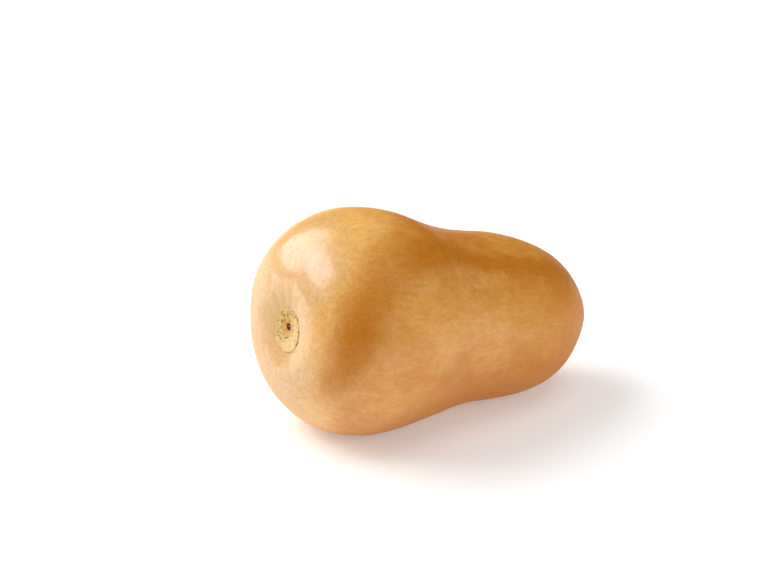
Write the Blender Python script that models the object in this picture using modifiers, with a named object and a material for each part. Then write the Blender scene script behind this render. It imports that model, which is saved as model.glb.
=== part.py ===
"""A butternut squash as picked, lying on its side, with the stub of its stem.

Metres, +Z up. The squash's own axis runs in the XZ plane: the blossom end points
towards -X and the stem end towards +X. The origin is on the surface that the squash
lies on, under the middle of its length. It rests on two small flat spots, one under
the bulb and one under the neck.

Two pieces grew here: the fruit in its skin, and the dry stub of the stem. Both are
turned about the axis of the squash, then shaped out of round by formulas.
"""

import math

import bmesh
import bpy
import numpy as np

MM = 0.001
MERGE_DISTANCE = 0.01 * MM
CURVE_SAMPLES = 4000

# The skin's guide points, in millimetres: distance from the blossom end along the
# axis, and distance from the axis. The skin is a smooth curve drawn just inside them.
SKIN_GUIDE = (
    (3.2, 0.0),
    (2.6, 9.0),
    (0.0, 19.0),
    (0.0, 30.0),
    (11.0, 49.3),
    (33.0, 59.9),
    (58.0, 58.6),
    (83.0, 50.7),
    (105.0, 46.0),
    (127.0, 45.2),
    (149.0, 41.0),
    (168.0, 31.8),
    (178.5, 21.0),
    (180.5, 14.0),
    (178.0, 8.0),
    (176.7, 0.0),
)
FRUIT_LENGTH = 180.0
OVAL_WIDTH = 1.05  # the fruit is this much wider than it is high

# How the fruit lies. Its axis sinks towards the stem, because the neck is thinner.
LIE_ANGLE = math.radians(10.6)
BLOSSOM_X = -91.6
BLOSSOM_HEIGHT = 66.3

# Where the rings of the skin lie, in millimetres of skin from the blossom pole. They
# are close round the scar and the stem, and evenly spaced between.
SCAR_RINGS = (0.8, 1.7, 2.8, 5.0, 8.0, 10.1, 10.9, 11.5, 12.5, 16.0, 20.0, 25.0)
RING_SPACING = 6.2
STEM_END_RINGS = (31.0, 26.0, 21.5, 17.5, 14.0, 9.0, 4.5)
SKIN_STEPS = 56

# Five broad ribs run from end to end, plainest round the stem. Heights are shares of
# the radius. They fade towards either pole, inside RIB_FADE_RADIUS.
RIB_COUNT = 5
RIB_PHASE = math.radians(-11)
RIB_AT_BLOSSOM = 0.008
RIB_ALONG = 0.002
RIB_AT_STEM = 0.016
RIB_BLOSSOM_REACH = 40.0
RIB_STEM_REACH = 60.0
RIB_FADE_RADIUS = 18.0

# Slow waves that keep the fruit out of true: turns along its length, turns round it,
# phase in radians, height in millimetres.
WAVES = (
    (1.3, 2, -1.4, 0.30),
    (2.1, 3, 3.7, 0.25),
    (3.2, 1, 0.9, 0.20),
    (4.6, 4, -1.9, 0.12),
)

# The blossom scar is a corky disc in the hollow of the blossom end, cracked off round
# its rim, with a pit in the middle. It grew a little below the axis and to one side.
SCAR_DROP = 3.4
SCAR_SIDE = -3.3
SCAR_SPREAD = 40.0  # the skin inside this radius is drawn along with it
SCAR_RADIUS = 11.5
SCAR_OVAL = 0.06  # the scar is this share taller, and this share narrower
SCAR_RAISE = 0.6
SCAR_EDGE = 1.0
CRACK_DEPTH = 0.7
CRACK_WIDTH = 0.6
CRACK_MEAN = 0.55  # the crack round the rim is this deep on average, and varies by
CRACK_SWING = 0.45  # this much, both as shares of CRACK_DEPTH
CRACK_PHASE = 0.8
PIT_RADIUS = 2.2
PIT_DEPTH = 1.6

# The stem's stub is a low ribbed knuckle, tucked in where it meets the fruit. Its
# guide points are height over the pole of the fruit's stem end, and distance from the
# axis. The first one is inside the fruit, which is then cut out of it.
STEM_GUIDE = (
    (-3.0, 11.0),
    (1.5, 12.6),
    (4.0, 14.2),
    (6.6, 15.0),
    (9.2, 13.8),
    (11.6, 11.0),
    (13.2, 7.0),
    (13.8, 3.5),
    (13.9, 0.0),
)
STEM_RINGS = 14
STEM_STEPS = 60
STEM_RIBS = 10
STEM_CREASE = 0.15  # depth of the creases between the ribs, as a share of the radius
STEM_ANGLES = 0.05  # every second rib stands out this much further
STEM_UNEVEN = 0.14  # how far, in radians, the ribs stray from even spacing
SEAT_GAP = 0.3

# The stub is broken off on a slant that falls towards -Y.
BREAK_HEIGHT = 10.6
BREAK_SLOPE = math.radians(34)
BREAK_BLOCK = 50.0

GROUND_BLOCK = 400.0

SKIN_COLOUR = (0.62, 0.31, 0.10, 1.0)
SKIN_ROUGHNESS = 0.42
STEM_COLOUR = (0.40, 0.25, 0.10, 1.0)
STEM_ROUGHNESS = 0.8


def smooth_step(low, high, value):
    t = np.clip((value - low) / (high - low), 0.0, 1.0)
    return t * t * (3.0 - 2.0 * t)


def drawn_curve(guide, samples, from_pole):
    """A uniform cubic B-spline inside the guide points.

    It ends on the axis at a pole, which it crosses square: the guide is mirrored there.
    The other end stops at the first guide point, or starts at a pole too.
    """
    points = np.array(guide, float)
    across = np.array([1.0, -1.0])
    before = points[1] * across if from_pole else 2 * points[0] - points[1]
    after = points[-2] * across
    cage = np.vstack([before, points, after])
    spans = len(cage) - 3
    place = np.linspace(0.0, spans, samples)
    span = np.minimum(place.astype(int), spans - 1)
    u = (place - span)[:, None]
    weights = (
        (1 - u) ** 3 / 6,
        (3 * u**3 - 6 * u**2 + 4) / 6,
        (-3 * u**3 + 3 * u**2 + 3 * u + 1) / 6,
        u**3 / 6,
    )
    curve = sum(weight * cage[span + i] for i, weight in enumerate(weights))
    curve[-1, 1] = 0.0
    return curve


def skin_rings():
    """Distance along the axis and radius of each ring of the fruit, pole to pole."""
    along, radius = drawn_curve(SKIN_GUIDE, CURVE_SAMPLES, from_pole=True).T
    radius[0] = 0.0
    skin = np.concatenate([[0.0], np.cumsum(np.hypot(np.diff(along), np.diff(radius)))])
    start = SCAR_RINGS[-1]
    stop = skin[-1] - STEM_END_RINGS[0]
    between = np.linspace(start, stop, round((stop - start) / RING_SPACING) + 1)[1:-1]
    stem_end = [skin[-1] - back for back in STEM_END_RINGS]
    rings = np.concatenate([[0.0], SCAR_RINGS, between, stem_end, skin[-1:]])
    return np.interp(rings, skin, along), np.interp(rings, skin, radius)


def rib_height(along, radius, angle):
    """Share of the radius that the ribs add."""
    from_stem = FRUIT_LENGTH - along
    strength = RIB_ALONG
    strength += (RIB_AT_BLOSSOM - RIB_ALONG) * (1 - smooth_step(0.0, RIB_BLOSSOM_REACH, along))
    strength += (RIB_AT_STEM - RIB_ALONG) * (1 - smooth_step(0.0, RIB_STEM_REACH, from_stem))
    fade = smooth_step(RIB_FADE_RADIUS / 2, RIB_FADE_RADIUS, radius)
    return strength * fade * np.cos(RIB_COUNT * angle + RIB_PHASE)


def wave_height(along, radius, angle):
    """Millimetres that the slow waves add to the radius, none at the poles."""
    turn = 2 * math.pi * along / FRUIT_LENGTH
    height = sum(h * np.sin(a * turn + r * angle + phase) for a, r, phase, h in WAVES)
    return height * smooth_step(0.0, RIB_FADE_RADIUS, radius)


def scar_height(radius, angle):
    """Millimetres that the blossom scar stands out of the hollow it lies in."""
    disc = SCAR_RAISE * (1 - smooth_step(SCAR_RADIUS - SCAR_EDGE, SCAR_RADIUS, radius))
    broken = CRACK_MEAN + CRACK_SWING * np.sin(2 * angle + CRACK_PHASE) * np.sin(3 * angle)
    crack = CRACK_DEPTH * broken * np.exp(-(((radius - SCAR_RADIUS) / CRACK_WIDTH) ** 2))
    pit = PIT_DEPTH * (1 - smooth_step(0.0, PIT_RADIUS, radius))
    return disc - crack - pit


def shape_skin(along, radius, angle):
    """A point of the turned fruit, moved onto the real skin. Angle 0 is the top."""
    swell = radius * rib_height(along, radius, angle) + wave_height(along, radius, angle)
    at_blossom = along < FRUIT_LENGTH / 4
    round_scar = 1 - smooth_step(SCAR_RADIUS, SCAR_SPREAD, radius)
    oval = np.where(at_blossom, SCAR_OVAL * np.cos(2 * angle) * round_scar, 0.0)
    out = (radius + swell) * (1 + oval)
    drawn = np.clip(1 - (radius / SCAR_SPREAD) ** 2, 0.0, None) ** 2
    drawn = np.where(at_blossom, drawn, 0.0)
    return (
        along - np.where(at_blossom, scar_height(radius, angle), 0.0),
        out * np.sin(angle) * OVAL_WIDTH + SCAR_SIDE * drawn,
        out * np.cos(angle) - SCAR_DROP * drawn,
    )


def shape_stem(along, radius, angle):
    """A point of the turned stub, creased into ribs."""
    strayed = angle + STEM_UNEVEN * math.sin(2 * angle + 1)
    rib = np.cos(STEM_RIBS * strayed / 2)
    crease = STEM_CREASE * (1 - np.abs(rib)) ** 2
    out = radius * (1 - crease + STEM_ANGLES * rib)
    return along, out * np.sin(angle), out * np.cos(angle)


def turned(name, along, radius, steps, shape):
    """A closed mesh turned about X by a Screw modifier, then shaped point by point."""
    profile = bpy.data.meshes.new(name + "_profile")
    corners = [(a * MM, 0.0, r * MM) for a, r in zip(along, radius)]
    profile.from_pydata(corners, [(i, i + 1) for i in range(len(corners) - 1)], [])
    lathe = bpy.data.objects.new(name + "_profile", profile)
    bpy.context.scene.collection.objects.link(lathe)
    screw = lathe.modifiers.new("turn", "SCREW")
    screw.axis = "X"
    screw.steps = steps
    screw.render_steps = steps
    screw.use_merge_vertices = True
    screw.merge_threshold = MERGE_DISTANCE
    graph = bpy.context.evaluated_depsgraph_get()
    mesh = bpy.data.meshes.new_from_object(lathe.evaluated_get(graph))
    mesh.name = name
    bpy.data.objects.remove(lathe)

    solid = bmesh.new()
    solid.from_mesh(mesh)
    bmesh.ops.remove_doubles(solid, verts=solid.verts, dist=MERGE_DISTANCE)
    bmesh.ops.recalc_face_normals(solid, faces=solid.faces)
    for vertex in solid.verts:
        x, y, z = vertex.co / MM
        shaped = shape(x, math.hypot(y, z), math.atan2(y, z))
        vertex.co = [value * MM for value in shaped]
    solid.to_mesh(mesh)
    solid.free()
    return mesh


def principled(name, colour, roughness):
    material = bpy.data.materials.new(name)
    material.use_nodes = True
    shader = material.node_tree.nodes["Principled BSDF"]
    shader.inputs["Base Color"].default_value = colour
    shader.inputs["Roughness"].default_value = roughness
    shader.inputs["Metallic"].default_value = 0.0
    return material


def add_piece(mesh, material, axis, collection):
    piece = bpy.data.objects.new(mesh.name, mesh)
    mesh.materials.append(material)
    mesh.shade_smooth()
    collection.objects.link(piece)
    piece.parent = axis
    return piece


def cut(piece, cutter, cutters):
    """An exact Boolean cut. The cutter goes in the cutters' collection, as wires."""
    for collection in list(cutter.users_collection):
        collection.objects.unlink(cutter)
    cutters.objects.link(cutter)
    cutter.hide_render = True
    cutter.display_type = "WIRE"
    difference = piece.modifiers.new("cut by " + cutter.name, "BOOLEAN")
    difference.operation = "DIFFERENCE"
    difference.solver = "EXACT"
    difference.object = cutter


def block(name, size):
    bpy.ops.mesh.primitive_cube_add(size=size * MM)
    cube = bpy.context.object
    cube.name = name
    return cube


def build_fruit(axis, parts, cutters):
    """The fruit, cut flat by the ground where it has lain."""
    along, radius = skin_rings()
    mesh = turned("fruit", along, radius, SKIN_STEPS, shape_skin)
    fruit = add_piece(mesh, principled("skin", SKIN_COLOUR, SKIN_ROUGHNESS), axis, parts)
    ground = block("ground", GROUND_BLOCK)
    ground.location.z = -GROUND_BLOCK / 2 * MM
    cut(fruit, ground, cutters)


def build_stem(axis, parts, cutters):
    """The stub: seated on the fruit's stem end, and broken off on a slant."""
    pole = SKIN_GUIDE[-1][0]
    height, radius = drawn_curve(STEM_GUIDE, STEM_RINGS, from_pole=False).T
    along = np.concatenate([height[:1], height]) + pole
    radius = np.concatenate([[0.0], radius])
    mesh = turned("stem", along, radius, STEM_STEPS, shape_stem)
    stem = add_piece(mesh, principled("stem", STEM_COLOUR, STEM_ROUGHNESS), axis, parts)

    seat_along, seat_radius = skin_rings()
    seat_mesh = turned("seat", seat_along, seat_radius, SKIN_STEPS, shape_skin)
    seat = bpy.data.objects.new("seat", seat_mesh)
    seat.parent = axis
    cutters.objects.link(seat)
    gap = seat.modifiers.new("gap", "DISPLACE")
    gap.direction = "NORMAL"
    gap.mid_level = 0.0
    gap.strength = SEAT_GAP * MM
    cut(stem, seat, cutters)

    breaker = block("break", BREAK_BLOCK)
    breaker.parent = axis
    half = BREAK_BLOCK / 2
    breaker.rotation_euler.z = -BREAK_SLOPE
    breaker.location = (
        (pole + BREAK_HEIGHT + half * math.cos(BREAK_SLOPE)) * MM,
        -half * math.sin(BREAK_SLOPE) * MM,
        0.0,
    )
    cut(stem, breaker, cutters)


def main():
    for old in list(bpy.data.objects):
        bpy.data.objects.remove(old)
    parts = bpy.data.collections.new("butternut_squash")
    cutters = bpy.data.collections.new("cutters")
    bpy.context.scene.collection.children.link(parts)
    bpy.context.scene.collection.children.link(cutters)

    axis = bpy.data.objects.new("squash_axis", None)
    parts.objects.link(axis)
    axis.location = (BLOSSOM_X * MM, 0.0, BLOSSOM_HEIGHT * MM)
    axis.rotation_euler.y = LIE_ANGLE

    build_fruit(axis, parts, cutters)
    build_stem(axis, parts, cutters)


main()
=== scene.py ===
# %% [markdown]
# # A butternut squash, dressed for the camera
#
# A solid model of the squash is already the right size and lies the right way round.
# This lesson gives it its looks: a fine skin with a corky blossom scar, a woody stub
# of stem, a studio floor, soft lights and a camera with a long lens.
#
# The squash is built twice by the same rules, once coarsely in the solid model and
# once finely here. That keeps the two in step: the fine skin has the same bulb, neck
# and ribs, and adds only what is too small for the solid.

# %% Load the solid model and the tools
import math

import bpy
import numpy as np
from mathutils import Matrix, Vector, noise


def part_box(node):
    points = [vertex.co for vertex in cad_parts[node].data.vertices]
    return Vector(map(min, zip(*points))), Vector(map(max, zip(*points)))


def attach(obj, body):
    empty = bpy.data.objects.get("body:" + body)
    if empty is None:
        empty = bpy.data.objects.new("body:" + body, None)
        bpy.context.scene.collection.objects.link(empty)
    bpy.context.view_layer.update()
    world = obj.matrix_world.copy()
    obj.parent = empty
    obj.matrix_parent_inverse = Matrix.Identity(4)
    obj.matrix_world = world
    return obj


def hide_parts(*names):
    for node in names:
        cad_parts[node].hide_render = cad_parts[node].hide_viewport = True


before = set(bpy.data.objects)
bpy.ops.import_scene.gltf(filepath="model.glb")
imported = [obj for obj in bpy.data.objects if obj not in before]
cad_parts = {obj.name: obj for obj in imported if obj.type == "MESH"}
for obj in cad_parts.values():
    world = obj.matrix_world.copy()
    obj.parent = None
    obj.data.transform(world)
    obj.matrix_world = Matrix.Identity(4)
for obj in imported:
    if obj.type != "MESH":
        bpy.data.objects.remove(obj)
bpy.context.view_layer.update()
MM = 0.001
print("nodes:", sorted(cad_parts))

# %% [markdown]
# ## The camera
#
# The outline of a squash says a lot about the lens. Seen from close by, the near bulb
# would swell against the far neck. Here it hardly does, so the camera stands well back
# with a long lens. It looks down a little, and from the blossom end.
#
# Blender's lens shift slides the picture in its frame without turning the camera. It
# places the squash a little right of the middle, as in the photograph.

# %% Place the camera
PICTURE_WIDTH = 772
PICTURE_HEIGHT = 579
SENSOR_WIDTH = 36.0
FOCAL_PIXELS = 3200.0
CAMERA_AZIMUTH = -33.34
CAMERA_ELEVATION = 22.5
CAMERA_DISTANCE = 1.689
AIM_POINT = Vector((0.0, 0.0, 0.050))
AIM_PIXEL = (431.77, 316.16)
CLIP_NEAR = 0.05
CLIP_FAR = 50.0


def direction(azimuth, elevation):
    """The unit vector towards a place seen at these angles, in degrees, from the squash."""
    a, e = math.radians(azimuth), math.radians(elevation)
    return Vector((math.sin(a) * math.cos(e), -math.cos(a) * math.cos(e), math.sin(e)))


lens = bpy.data.cameras.new("camera")
camera = bpy.data.objects.new("camera", lens)
bpy.context.scene.collection.objects.link(camera)
bpy.context.scene.camera = camera
toward_camera = direction(CAMERA_AZIMUTH, CAMERA_ELEVATION)
camera.location = AIM_POINT + CAMERA_DISTANCE * toward_camera
camera.rotation_euler = (-toward_camera).to_track_quat("-Z", "Y").to_euler()
lens.sensor_width = SENSOR_WIDTH
lens.lens = FOCAL_PIXELS * SENSOR_WIDTH / PICTURE_WIDTH
lens.shift_x = (PICTURE_WIDTH / 2 - AIM_PIXEL[0]) / PICTURE_WIDTH
lens.shift_y = (AIM_PIXEL[1] - PICTURE_HEIGHT / 2) / PICTURE_WIDTH
lens.clip_start = CLIP_NEAR
lens.clip_end = CLIP_FAR
print("lens:", round(lens.lens, 1), "mm, shift:", round(lens.shift_x, 3), round(lens.shift_y, 3))

# %% [markdown]
# ## The shape of the fruit
#
# A squash grows round an axis, so its skin is a profile turned about a line. A handful
# of guide points gives the profile, and a B-spline draws a smooth curve just inside
# them. Modelling it by hand with subdivision would also work, but the formula lets
# every later detail know where on the fruit it is: how far along, and which way round.
#
# All lengths here are in millimetres, in the squash's own frame: X runs along the axis
# from the blossom end, and angles count from the top of the fruit as it lies.

# %% Guide points and how the fruit lies
SKIN_GUIDE = (
    (3.2, 0.0), (2.6, 9.0), (0.0, 19.0), (0.0, 30.0),
    (11.0, 49.3), (33.0, 59.9), (58.0, 58.6), (83.0, 50.7),
    (105.0, 46.0), (127.0, 45.2), (149.0, 41.0), (168.0, 31.8),
    (178.5, 21.0), (180.5, 14.0), (178.0, 8.0), (176.7, 0.0),
)
FRUIT_LENGTH = 180.0
OVAL_WIDTH = 1.05
LIE_ANGLE = math.radians(10.6)
BLOSSOM_PLACE = (-91.6, 0.0, 66.3)


def drawn_curve(guide, samples, from_pole):
    """A uniform cubic B-spline inside the guide, square to the axis at its poles."""
    points = np.array(guide, float)
    across = np.array([1.0, -1.0])
    before = points[1] * across if from_pole else 2 * points[0] - points[1]
    cage = np.vstack([before, points, points[-2] * across])
    spans = len(cage) - 3
    place = np.linspace(0.0, spans, samples)
    span = np.minimum(place.astype(int), spans - 1)
    u = (place - span)[:, None]
    weights = (
        (1 - u) ** 3 / 6,
        (3 * u**3 - 6 * u**2 + 4) / 6,
        (-3 * u**3 + 3 * u**2 + 3 * u + 1) / 6,
        u**3 / 6,
    )
    curve = sum(weight * cage[span + i] for i, weight in enumerate(weights))
    curve[-1, 1] = 0.0
    return curve


def lay_down(points):
    """From the squash's own frame, in millimetres, to where it lies, in metres."""
    lie = Matrix.Translation(BLOSSOM_PLACE) @ Matrix.Rotation(LIE_ANGLE, 4, "Y")
    turn = np.array(lie)
    return (points @ turn[:3, :3].T + turn[:3, 3]) * MM


# %% [markdown]
# Rings of points run round the profile. The picture shows half a millimetre to a
# pixel, so the rings are about a quarter of a millimetre apart in the scar, where there
# are cracks to carve, and about a millimetre apart elsewhere.

# %% Lay out the rings of the skin
CURVE_SAMPLES = 6000
SKIN_STEPS = 320
SCAR_REACH = 17.0
SCAR_SPACING = 0.27
BODY_RINGS = 222
BLOSSOM_PART = 0.25

along_curve, radius_curve = drawn_curve(SKIN_GUIDE, CURVE_SAMPLES, from_pole=True).T
radius_curve[0] = 0.0
skin_curve = np.concatenate(
    [[0.0], np.cumsum(np.hypot(np.diff(along_curve), np.diff(radius_curve)))]
)
SKIN_LENGTH = skin_curve[-1]
scar_rings = np.arange(SCAR_SPACING, SCAR_REACH, SCAR_SPACING)
body_rings = np.linspace(SCAR_REACH, SKIN_LENGTH, BODY_RINGS + 1)[:-1]
ring_skin = np.concatenate([scar_rings, body_rings])
ring_angle = np.arange(SKIN_STEPS) * 2 * math.pi / SKIN_STEPS

skin, angle = np.meshgrid(ring_skin, ring_angle, indexing="ij")
along = np.interp(skin, skin_curve, along_curve)
radius = np.interp(skin, skin_curve, radius_curve)
at_blossom = along < BLOSSOM_PART * FRUIT_LENGTH
print("skin length:", round(SKIN_LENGTH, 1), "mm, rings:", len(ring_skin))

# %% [markdown]
# A few small functions do most of the work from here on.

# %% Steps, zones, bells and waves


def smooth_step(low, high, value):
    """Nought below the low limit, one above the high one, and smooth between them."""
    t = np.clip((value - low) / (high - low), 0.0, 1.0)
    return t * t * (3.0 - 2.0 * t)


def zone(value, start, full, fade, end):
    """Rises between the first two limits and falls between the last two."""
    return smooth_step(start, full, value) * (1 - smooth_step(fade, end, value))


def bell(*offs):
    """One where every offset is nought, and next to nothing where one of them is two."""
    return np.exp(-sum(off**2 for off in offs))


def wavy(middle, waves):
    """Goes up and down round the fruit. Each wave is a count, a size and a phase."""
    value = np.full_like(angle, middle)
    for count, size, phase in waves:
        value += size * np.sin(count * angle + phase)
    return value


def turned_by(degrees):
    """Angle from a heading, wrapped to between minus and plus half a turn."""
    away = angle - np.radians(degrees)
    return np.arctan2(np.sin(away), np.cos(away))


def towards(heading):
    """One on the side with this heading, in degrees, and minus one on the far side of it."""
    return np.cos(angle - math.radians(heading))


def at_scar(values):
    """The values at the blossom end, and nought elsewhere."""
    return np.where(at_blossom, values, 0.0)


# %% [markdown]
# ## Ribs, waves and small dents
#
# Five broad ribs run from end to end. Slow waves keep the fruit out of true. Smaller
# dents, a few tenths of a millimetre deep, are hard to see as shapes, but they break
# up the reflections, and that is what tells the eye that a surface grew.

# %% Raise ribs and waves
RIB_COUNT = 5
RIB_PHASE = math.radians(-11)
RIB_AT_BLOSSOM = 0.008
RIB_ALONG = 0.002
RIB_AT_STEM = 0.016
RIB_BLOSSOM_REACH = 40.0
RIB_STEM_REACH = 60.0
RIB_FADE_RADIUS = 18.0

# Each wave: its turns along the fruit and round it, its phase and its height.
WAVES = (
    (1.3, 2, -1.4, 0.30),
    (2.1, 3, 3.7, 0.25),
    (3.2, 1, 0.9, 0.20),
    (4.6, 4, -1.9, 0.12),
)


def rib_height():
    """Ribs that are strongest at the stem and all but vanish along the middle."""
    strength = RIB_ALONG
    strength += (RIB_AT_BLOSSOM - RIB_ALONG) * (1 - smooth_step(0.0, RIB_BLOSSOM_REACH, along))
    from_stem = FRUIT_LENGTH - along
    strength += (RIB_AT_STEM - RIB_ALONG) * (1 - smooth_step(0.0, RIB_STEM_REACH, from_stem))
    fade = smooth_step(RIB_FADE_RADIUS / 2, RIB_FADE_RADIUS, radius)
    return radius * strength * fade * np.cos(RIB_COUNT * angle + RIB_PHASE)


def wave_height():
    """Slow waves that run aslant round the fruit."""
    turn = 2 * math.pi * along / FRUIT_LENGTH
    height = sum(h * np.sin(a * turn + r * angle + phase) for a, r, phase, h in WAVES)
    return height * smooth_step(0.0, RIB_FADE_RADIUS, radius)


swollen = radius + rib_height() + wave_height()
print("ribs and waves:", round(float((swollen - radius).min()), 2), "to",
      round(float((swollen - radius).max()), 2), "mm")

# %% [markdown]
# ## The blossom scar
#
# Where the flower fell off, a plate of dry cork is left in a shallow hollow. As the
# fruit swells, the plate tears away from the skin round its rim, in a few long cracks
# and many short ones.
#
# A texture could paint all this, but the cracks catch light, so they are carved. Each
# feature is a function of the distance from the middle of the scar and of the way
# round it. The same functions give the masks that colour the cork later, so that dark
# lines and deep lines are the same lines.

# %% Draw the plate and its tears
SCAR_RADIUS = 11.5
SCAR_EDGE = 0.7
RIM_WAVES = ((3, 0.022, 1.0), (8, 0.016, 2.0), (17, 0.010, 0.0), (29, 0.006, 0.5))
RIM_LIFT = 0.03
TEAR_WIDTH = 0.30
TEAR_THINNEST = 0.6
TEAR_WIDENING = 0.6
TEAR_TAPER = 0.55
PLATE_TEAR_SHARE = 0.9
WHISKER_COUNT = 19
WHISKER_STRAY = 1.5
WHISKER_STRAY_COUNT = 3
WHISKER_SHARPNESS = 14
WHISKER_REACH = 0.9
WHISKER_LEAN = 0.2
WHISKER_FULL = 0.9
WHISKER_SHARE = 0.4

# The tears round the rim: the way they lie from the top, half their length, both in
# degrees, and their strength. Minus is the side nearer the camera.
RIM_TEARS = (
    (-37, 14, 0.9), (-78, 15, 0.7), (-107, 12, 1.0),
    (-160, 4, 0.6), (-174, 4, 0.7), (163, 5, 0.5),
    (142, 5, 0.5), (120, 5, 0.45), (104, 4, 0.35),
    (22, 4, 0.45), (2, 4, 0.6), (-15, 4, 0.65),
)
# Tears in the plate itself, from one end to the other and their strength. Places are
# in millimetres from the middle of the scar, to the far side and up.
PLATE_TEARS = (
    ((0.4, 10.3), (2.5, 7.6), 0.7),
    ((2.5, 7.6), (-0.4, 5.8), 0.8),
    ((6.9, 3.9), (6.8, 3.4), 0.9),
    ((4.3, 5.4), (4.1, 4.9), 0.5),
    ((7.9, -3.3), (7.6, -3.8), 0.7),
    ((6.9, -4.6), (5.0, -5.9), 0.8),
    ((2.9, -4.3), (0.6, -2.9), 0.8),
    ((0.6, -2.9), (-0.4, -1.5), 0.5),
    ((-4.1, 5.6), (-4.3, 1.4), 0.3),
    ((9.3, -0.2), (8.6, -2.3), 0.3),
    ((2.9, -6.2), (2.4, -6.3), 0.4),
)


def rim_tears():
    """Long cracks that follow the rim, tapered at both ends."""
    total = np.zeros_like(radius)
    for heading, half_length, strength in RIM_TEARS:
        near = np.abs(turned_by(heading)) / math.radians(half_length)
        width = TEAR_WIDTH * (TEAR_THINNEST + TEAR_WIDENING * strength)
        tear = strength * bell((radius - rim) / width) * (1 - smooth_step(TEAR_TAPER, 1.0, near))
        total = np.maximum(total, tear)
    return total


def whiskers():
    """Short cracks that cross the rim, most of them above and below."""
    stray = WHISKER_STRAY * np.sin(WHISKER_STRAY_COUNT * angle)
    lines = np.abs(np.sin(WHISKER_COUNT * angle + stray)) ** WHISKER_SHARPNESS
    upright = smooth_step(0.0, WHISKER_FULL, np.abs(np.cos(angle + WHISKER_LEAN)))
    return lines * (bell((radius - rim) / WHISKER_REACH) * upright)


def plate_tears():
    """Cracks in the plate, each of them a straight line between two places."""
    total = np.zeros_like(radius)
    for start, end, strength in PLATE_TEARS:
        run_y, run_z = end[0] - start[0], end[1] - start[1]
        off_y, off_z = scar_y - start[0], scar_z - start[1]
        covered = np.clip((off_y * run_y + off_z * run_z) / (run_y**2 + run_z**2), 0.0, 1.0)
        gap = np.hypot(off_y - covered * run_y, off_z - covered * run_z)
        total = np.maximum(total, strength * bell(gap / TEAR_WIDTH))
    return total


scar_y = radius * np.sin(angle)
scar_z = radius * np.cos(angle)
rim = SCAR_RADIUS * (wavy(1.0, RIM_WAVES) - RIM_LIFT * (1 - np.cos(angle)))
cork = at_scar(1 - smooth_step(-SCAR_EDGE, 0.0, radius - rim))
tears = rim_tears() + WHISKER_SHARE * whiskers() + PLATE_TEAR_SHARE * plate_tears()
torn = at_scar(np.clip(tears, 0.0, 1.0))
print("points in the scar:", int((cork > 0.5).sum()), "of which torn:", int((torn > 0.5).sum()))

# %% [markdown]
# In the middle of the plate is the pit where the flower's style stood, with a bit of
# the style still in it, raised and painted cream as a glint. The heart of the plate round
# the pit is browner than the rest. Olive cork covers the upper far side, and beyond it a
# halo of deeper, ochre skin is painted shade in the hollow round the scar.

# %% Mark the pit, the heart, the olive side and the halo of painted shade
PIT_PLACE = (1.5, 2.3)
PIT_RADIUS = 2.1
PIT_WAVES = ((3, 0.15, 0.6),)
PIT_FLOOR = 0.4
# The bit of style is raised, and painted cream as a glint.
STYLE_PLACE = (1.4, 2.8)
STYLE_RADIUS = 0.6
STYLE_TOP = 0.3
HEART_RADIUS = 5.2
HEART_WAVES = ((5, 0.7, 0.4), (9, 0.5, 0.0))
HEART_EDGE = (-1.0, 0.6)
MOSS_HEADING = 52
MOSS_LEAST = 0.15
MOSS_GAIN = 0.75
MOSS_SIDE = (-0.35, 0.75)
# The halo is painted shade in the hollow beyond the rim, on the upper far side.
HALO_HEADING = 52
HALO_GAP = 1.0
HALO_WIDTH = 9.0
HALO_SIDE = (0.0, 0.9)


def away_from(place):
    """Millimetres from a place in the scar."""
    return np.hypot(scar_y - place[0], scar_z - place[1])


from_pit = away_from(PIT_PLACE)
pit_edge = PIT_RADIUS * wavy(1.0, PIT_WAVES)
pit = at_scar(1 - smooth_step(PIT_FLOOR, 1.0, from_pit / pit_edge))
style_glint = at_scar(1 - smooth_step(STYLE_TOP, 1.0, away_from(STYLE_PLACE) / STYLE_RADIUS))
heart = at_scar(1 - smooth_step(*HEART_EDGE, from_pit - wavy(HEART_RADIUS, HEART_WAVES)))
moss_side = towards(MOSS_HEADING) * radius / SCAR_RADIUS
moss = at_scar(MOSS_LEAST + MOSS_GAIN * smooth_step(*MOSS_SIDE, moss_side))
beyond_rim = np.maximum(radius - rim - HALO_GAP, 0.0)
halo_shade = at_scar(bell(beyond_rim / HALO_WIDTH) * smooth_step(*HALO_SIDE, towards(HALO_HEADING)))
print("points in the pit:", int((pit > 0.5).sum()))

# %% [markdown]
# Cork is never flat. Blender's own noise gives the plate its crumbs. The skin round
# the scar is drawn into shallow folds, like cloth round a button, and they are plainest
# above the scar, on the side away from the camera.

# %% Crumble the cork and fold the skin round it
NOISE_FALLOFF = 0.9
NOISE_STEP = 2.0
CRUMB_LUMPS = ((1.0, 1.1, 2, 7.0), (0.6, 0.5, 2, 0.0))
FOLD_COUNT = 13
FOLD_STRAY = 2.2
FOLD_STRAY_COUNT = 2
FOLD_RISE = 4.0
FOLD_FADE = (17.0, 33.0)
FOLD_HEADING = 28
FOLD_LEAST = 0.35
FOLD_SIDE = (-0.2, 0.9)
SCAR_RAISE = 0.6
CRUMB_HEIGHT = 0.28
TEAR_DEPTH = 0.5
FOLD_HEIGHT = 0.13
HEART_SINK = 0.35
PIT_DEPTH = 1.9
STYLE_HEIGHT = 1.8


def lumps(points, parts):
    """Lumpy noise. Each part is a height, the size of its lumps, its detail and a seed."""
    total = 0.0
    for height, size, detail, seed in parts:
        values = [
            noise.fractal(p, NOISE_FALLOFF, NOISE_STEP, detail, noise_basis="PERLIN_ORIGINAL")
            for p in points.reshape(-1, 3) / size + seed
        ]
        total = total + height * np.array(values).reshape(points.shape[:-1])
    return total


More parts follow.
